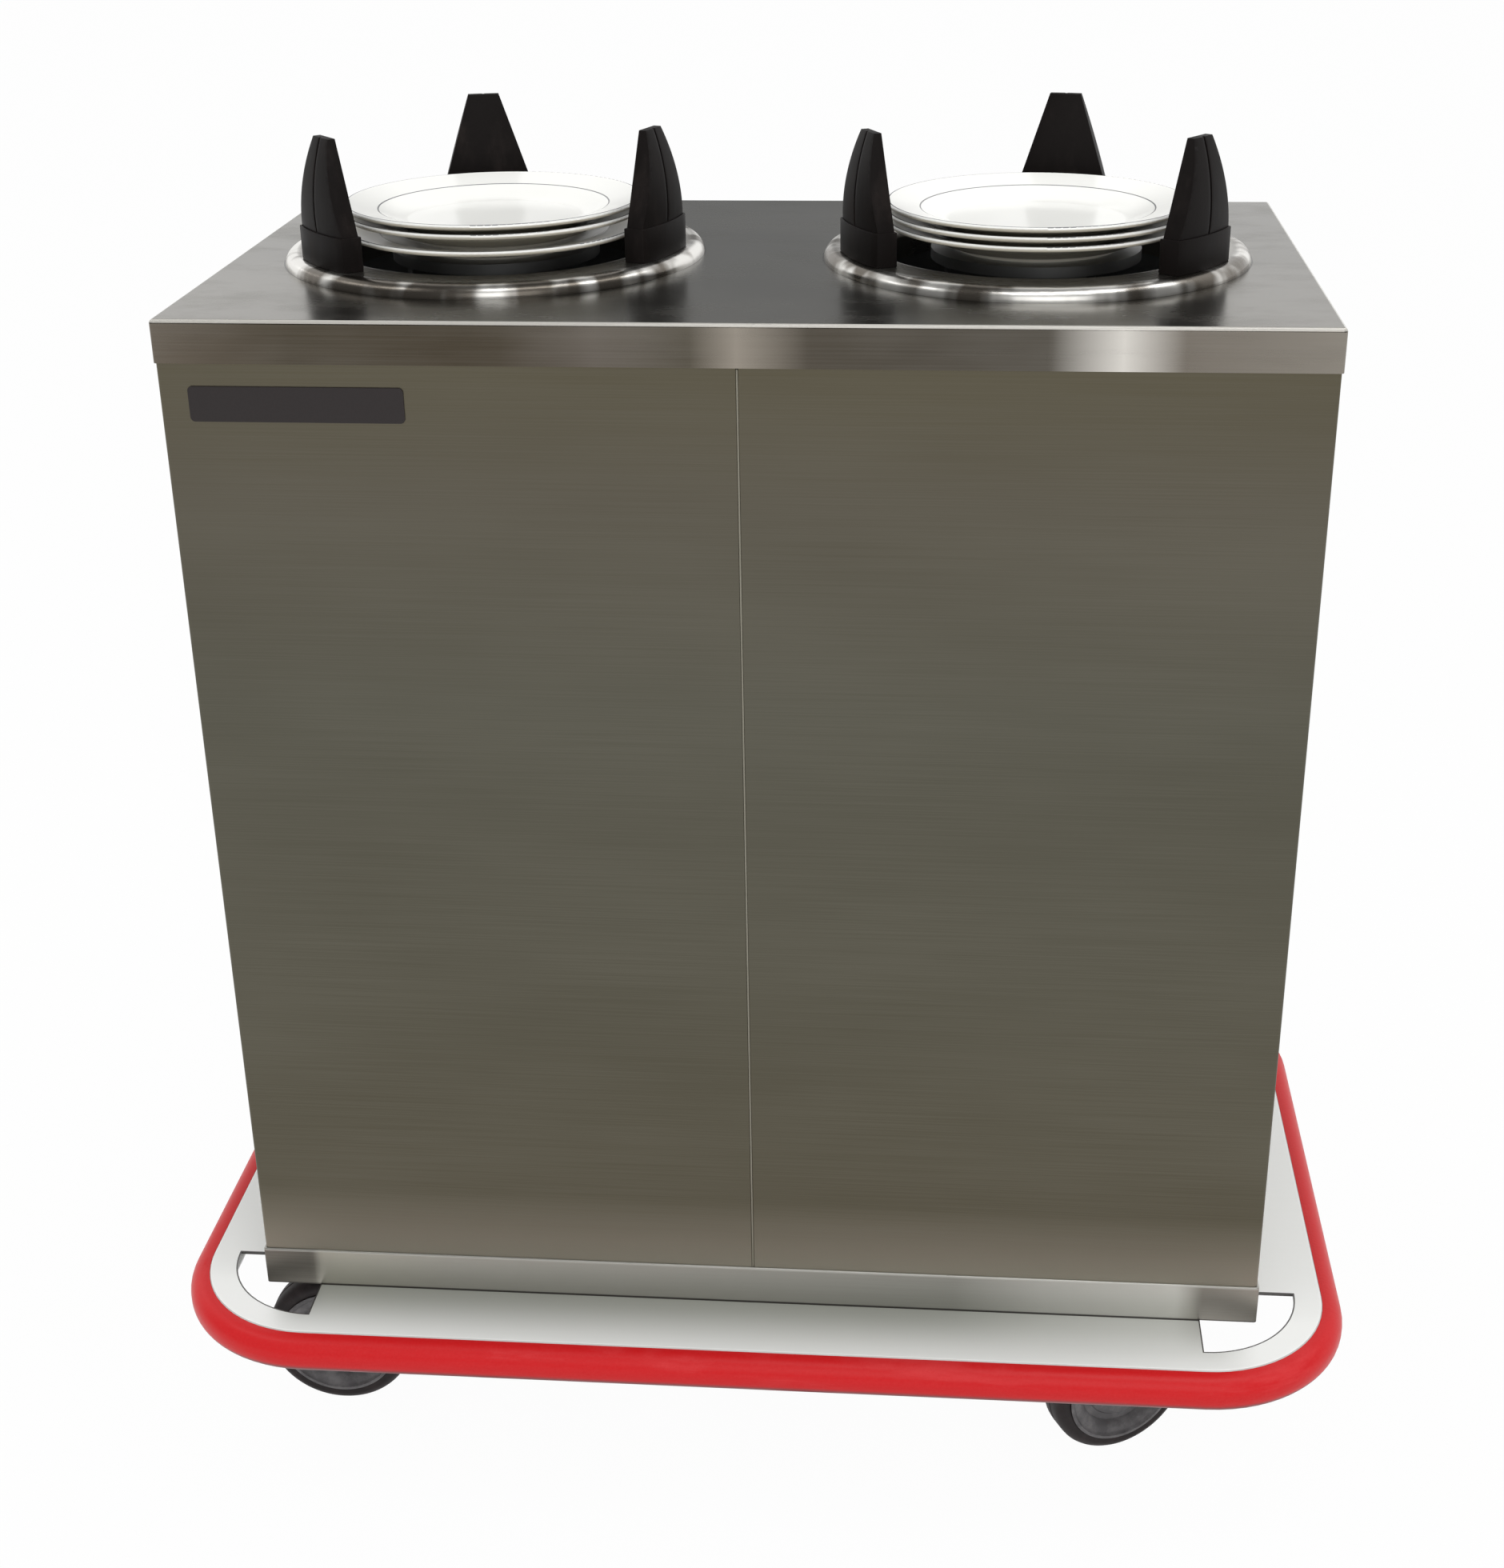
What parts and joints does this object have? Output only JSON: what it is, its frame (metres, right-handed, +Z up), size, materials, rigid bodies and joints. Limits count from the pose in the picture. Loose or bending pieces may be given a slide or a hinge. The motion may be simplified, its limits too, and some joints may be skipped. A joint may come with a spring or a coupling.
{
  "type": "heated plate dispenser",
  "caption": "Heated plate dispenser: a stainless cabinet on a wheeled base with a red bumper, with spring-borne dish stacks between black guide posts in polished collars.",
  "frame": {"origin": "on the floor under the middle of the base", "axes": "+Z up, the cabinet's front with the nameplate faces -Y, +X is to the right as seen from the front"},
  "size_m": [0.9728, 0.619, 1.083],
  "materials": {
    "stainless_sheet": "satin",
    "polished_stainless": "polished",
    "base_stainless": "satin",
    "plated_steel": "satin",
    "spring_steel": "satin",
    "element_sheath": "matte",
    "red_vinyl": "matte",
    "black_plate": "satin",
    "post_black": "matte",
    "white_ceramic": "gloss",
    "hub_grey": "satin",
    "tyre_dark": "matte",
    "control_black": "satin",
    "lamp_amber": "gloss"
  },
  "bodies": {
    "cabinet": {"back_panel": "stainless_sheet", "base_deck": "base_stainless", "bottom_trim": "base_stainless", "bumper": "red_vinyl", "cabinet_frame": "plated_steel", "caster_bolts": "plated_steel", "caster_plates": "plated_steel", "control_box": "plated_steel", "control_panel": "stainless_sheet", "heater_brackets": "plated_steel", "heating_element": "element_sheath", "left_collar": "polished_stainless", "left_post_back": "post_black", "left_post_front_left": "post_black", "left_post_front_right": "post_black", "left_shell": "stainless_sheet", "left_springs": "spring_steel", "left_tube": "plated_steel", "nameplate": "black_plate", "panel_screws": "plated_steel", "pilot_lamp": "lamp_amber", "post_boots": "post_black", "power_inlet": "control_black", "right_collar": "polished_stainless", "right_post_back": "post_black", "right_post_front_left": "post_black", "right_post_front_right": "post_black", "right_shell": "stainless_sheet", "right_springs": "spring_steel", "right_tube": "plated_steel", "switch_housing": "control_black", "thermostat": "control_black", "top_deck": "stainless_sheet"},
    "left_carrier": {"left_carrier": "plated_steel"},
    "left_dish_1": {"left_plate_1": "white_ceramic"},
    "left_dish_2": {"left_plate_2": "white_ceramic"},
    "left_dish_3": {"left_plate_3": "white_ceramic"},
    "right_carrier": {"right_carrier": "plated_steel"},
    "right_dish_1": {"right_plate_1": "white_ceramic"},
    "right_dish_2": {"right_plate_2": "white_ceramic"},
    "right_dish_3": {"right_plate_3": "white_ceramic"},
    "swivel_front_left": {"caster_fork_front_left": "plated_steel", "caster_axle_front_left": "plated_steel"},
    "wheel_front_left": {"caster_hub_front_left": "hub_grey", "caster_tyre_front_left": "tyre_dark"},
    "swivel_front_right": {"caster_fork_front_right": "plated_steel", "caster_axle_front_right": "plated_steel"},
    "wheel_front_right": {"caster_hub_front_right": "hub_grey", "caster_tyre_front_right": "tyre_dark"},
    "swivel_back_left": {"caster_fork_back_left": "plated_steel", "caster_axle_back_left": "plated_steel"},
    "wheel_back_left": {"caster_hub_back_left": "hub_grey", "caster_tyre_back_left": "tyre_dark"},
    "swivel_back_right": {"caster_fork_back_right": "plated_steel", "caster_axle_back_right": "plated_steel"},
    "wheel_back_right": {"caster_hub_back_right": "hub_grey", "caster_tyre_back_right": "tyre_dark"},
    "knob": {"thermostat_knob": "control_black"},
    "rocker": {"switch_rocker": "control_black"}
  },
  "joints": [
    {"name": "left_carrier_slide", "type": "slide", "parent": "cabinet", "child": "left_carrier", "axis": [0, 0, 1], "range_m": [-0.4, 0], "stiffness_N_per_m": 600, "springref_m": 0.08, "deforming": ["left_springs"]},
    {"name": "left_dish_1_lift", "type": "slide", "parent": "left_carrier", "child": "left_dish_1", "axis": [0, 0, 1], "range_m": [0, 0.25]},
    {"name": "left_dish_2_lift", "type": "slide", "parent": "left_dish_1", "child": "left_dish_2", "axis": [0, 0, 1], "range_m": [0, 0.25]},
    {"name": "left_dish_3_lift", "type": "slide", "parent": "left_dish_2", "child": "left_dish_3", "axis": [0, 0, 1], "range_m": [0, 0.25]},
    {"name": "right_carrier_slide", "type": "slide", "parent": "cabinet", "child": "right_carrier", "axis": [0, 0, 1], "range_m": [-0.4, 0], "stiffness_N_per_m": 600, "springref_m": 0.08, "deforming": ["right_springs"]},
    {"name": "right_dish_1_lift", "type": "slide", "parent": "right_carrier", "child": "right_dish_1", "axis": [0, 0, 1], "range_m": [0, 0.25]},
    {"name": "right_dish_2_lift", "type": "slide", "parent": "right_dish_1", "child": "right_dish_2", "axis": [0, 0, 1], "range_m": [0, 0.25]},
    {"name": "right_dish_3_lift", "type": "slide", "parent": "right_dish_2", "child": "right_dish_3", "axis": [0, 0, 1], "range_m": [0, 0.25]},
    {"name": "swivel_front_left_turn", "type": "hinge", "parent": "cabinet", "child": "swivel_front_left", "pos_m": [-0.337, -0.165, 0.14], "axis": [0, 0, 1], "continuous": true},
    {"name": "wheel_front_left_spin", "type": "hinge", "parent": "swivel_front_left", "child": "wheel_front_left", "pos_m": [-0.373, -0.165, 0.0635], "axis": [0, -1, 0], "continuous": true},
    {"name": "swivel_front_right_turn", "type": "hinge", "parent": "cabinet", "child": "swivel_front_right", "pos_m": [0.337, -0.165, 0.14], "axis": [0, 0, 1], "continuous": true},
    {"name": "wheel_front_right_spin", "type": "hinge", "parent": "swivel_front_right", "child": "wheel_front_right", "pos_m": [0.30492, -0.18134, 0.0635], "axis": [0.454, -0.891, 0], "continuous": true},
    {"name": "swivel_back_left_turn", "type": "hinge", "parent": "cabinet", "child": "swivel_back_left", "pos_m": [-0.337, 0.165, 0.14], "axis": [0, 0, 1], "continuous": true},
    {"name": "wheel_back_left_spin", "type": "hinge", "parent": "swivel_back_left", "child": "wheel_back_left", "pos_m": [-0.37265, 0.17001, 0.0635], "axis": [-0.1392, -0.9903, 0], "continuous": true},
    {"name": "swivel_back_right_turn", "type": "hinge", "parent": "cabinet", "child": "swivel_back_right", "pos_m": [0.337, 0.165, 0.14], "axis": [0, 0, 1], "continuous": true},
    {"name": "wheel_back_right_spin", "type": "hinge", "parent": "swivel_back_right", "child": "wheel_back_right", "pos_m": [0.30155, 0.15875, 0.0635], "axis": [0.1736, -0.9848, 0], "continuous": true},
    {"name": "thermostat_turn", "type": "hinge", "parent": "cabinet", "child": "knob", "pos_m": [0.008, 0.22865, 0.259], "axis": [0, 1, 0], "range_deg": [0, 270]},
    {"name": "switch_tip", "type": "hinge", "parent": "cabinet", "child": "rocker", "pos_m": [-0.084, 0.22865, 0.259], "axis": [-1, 0, 0], "range_deg": [0, 20]}
  ]
}
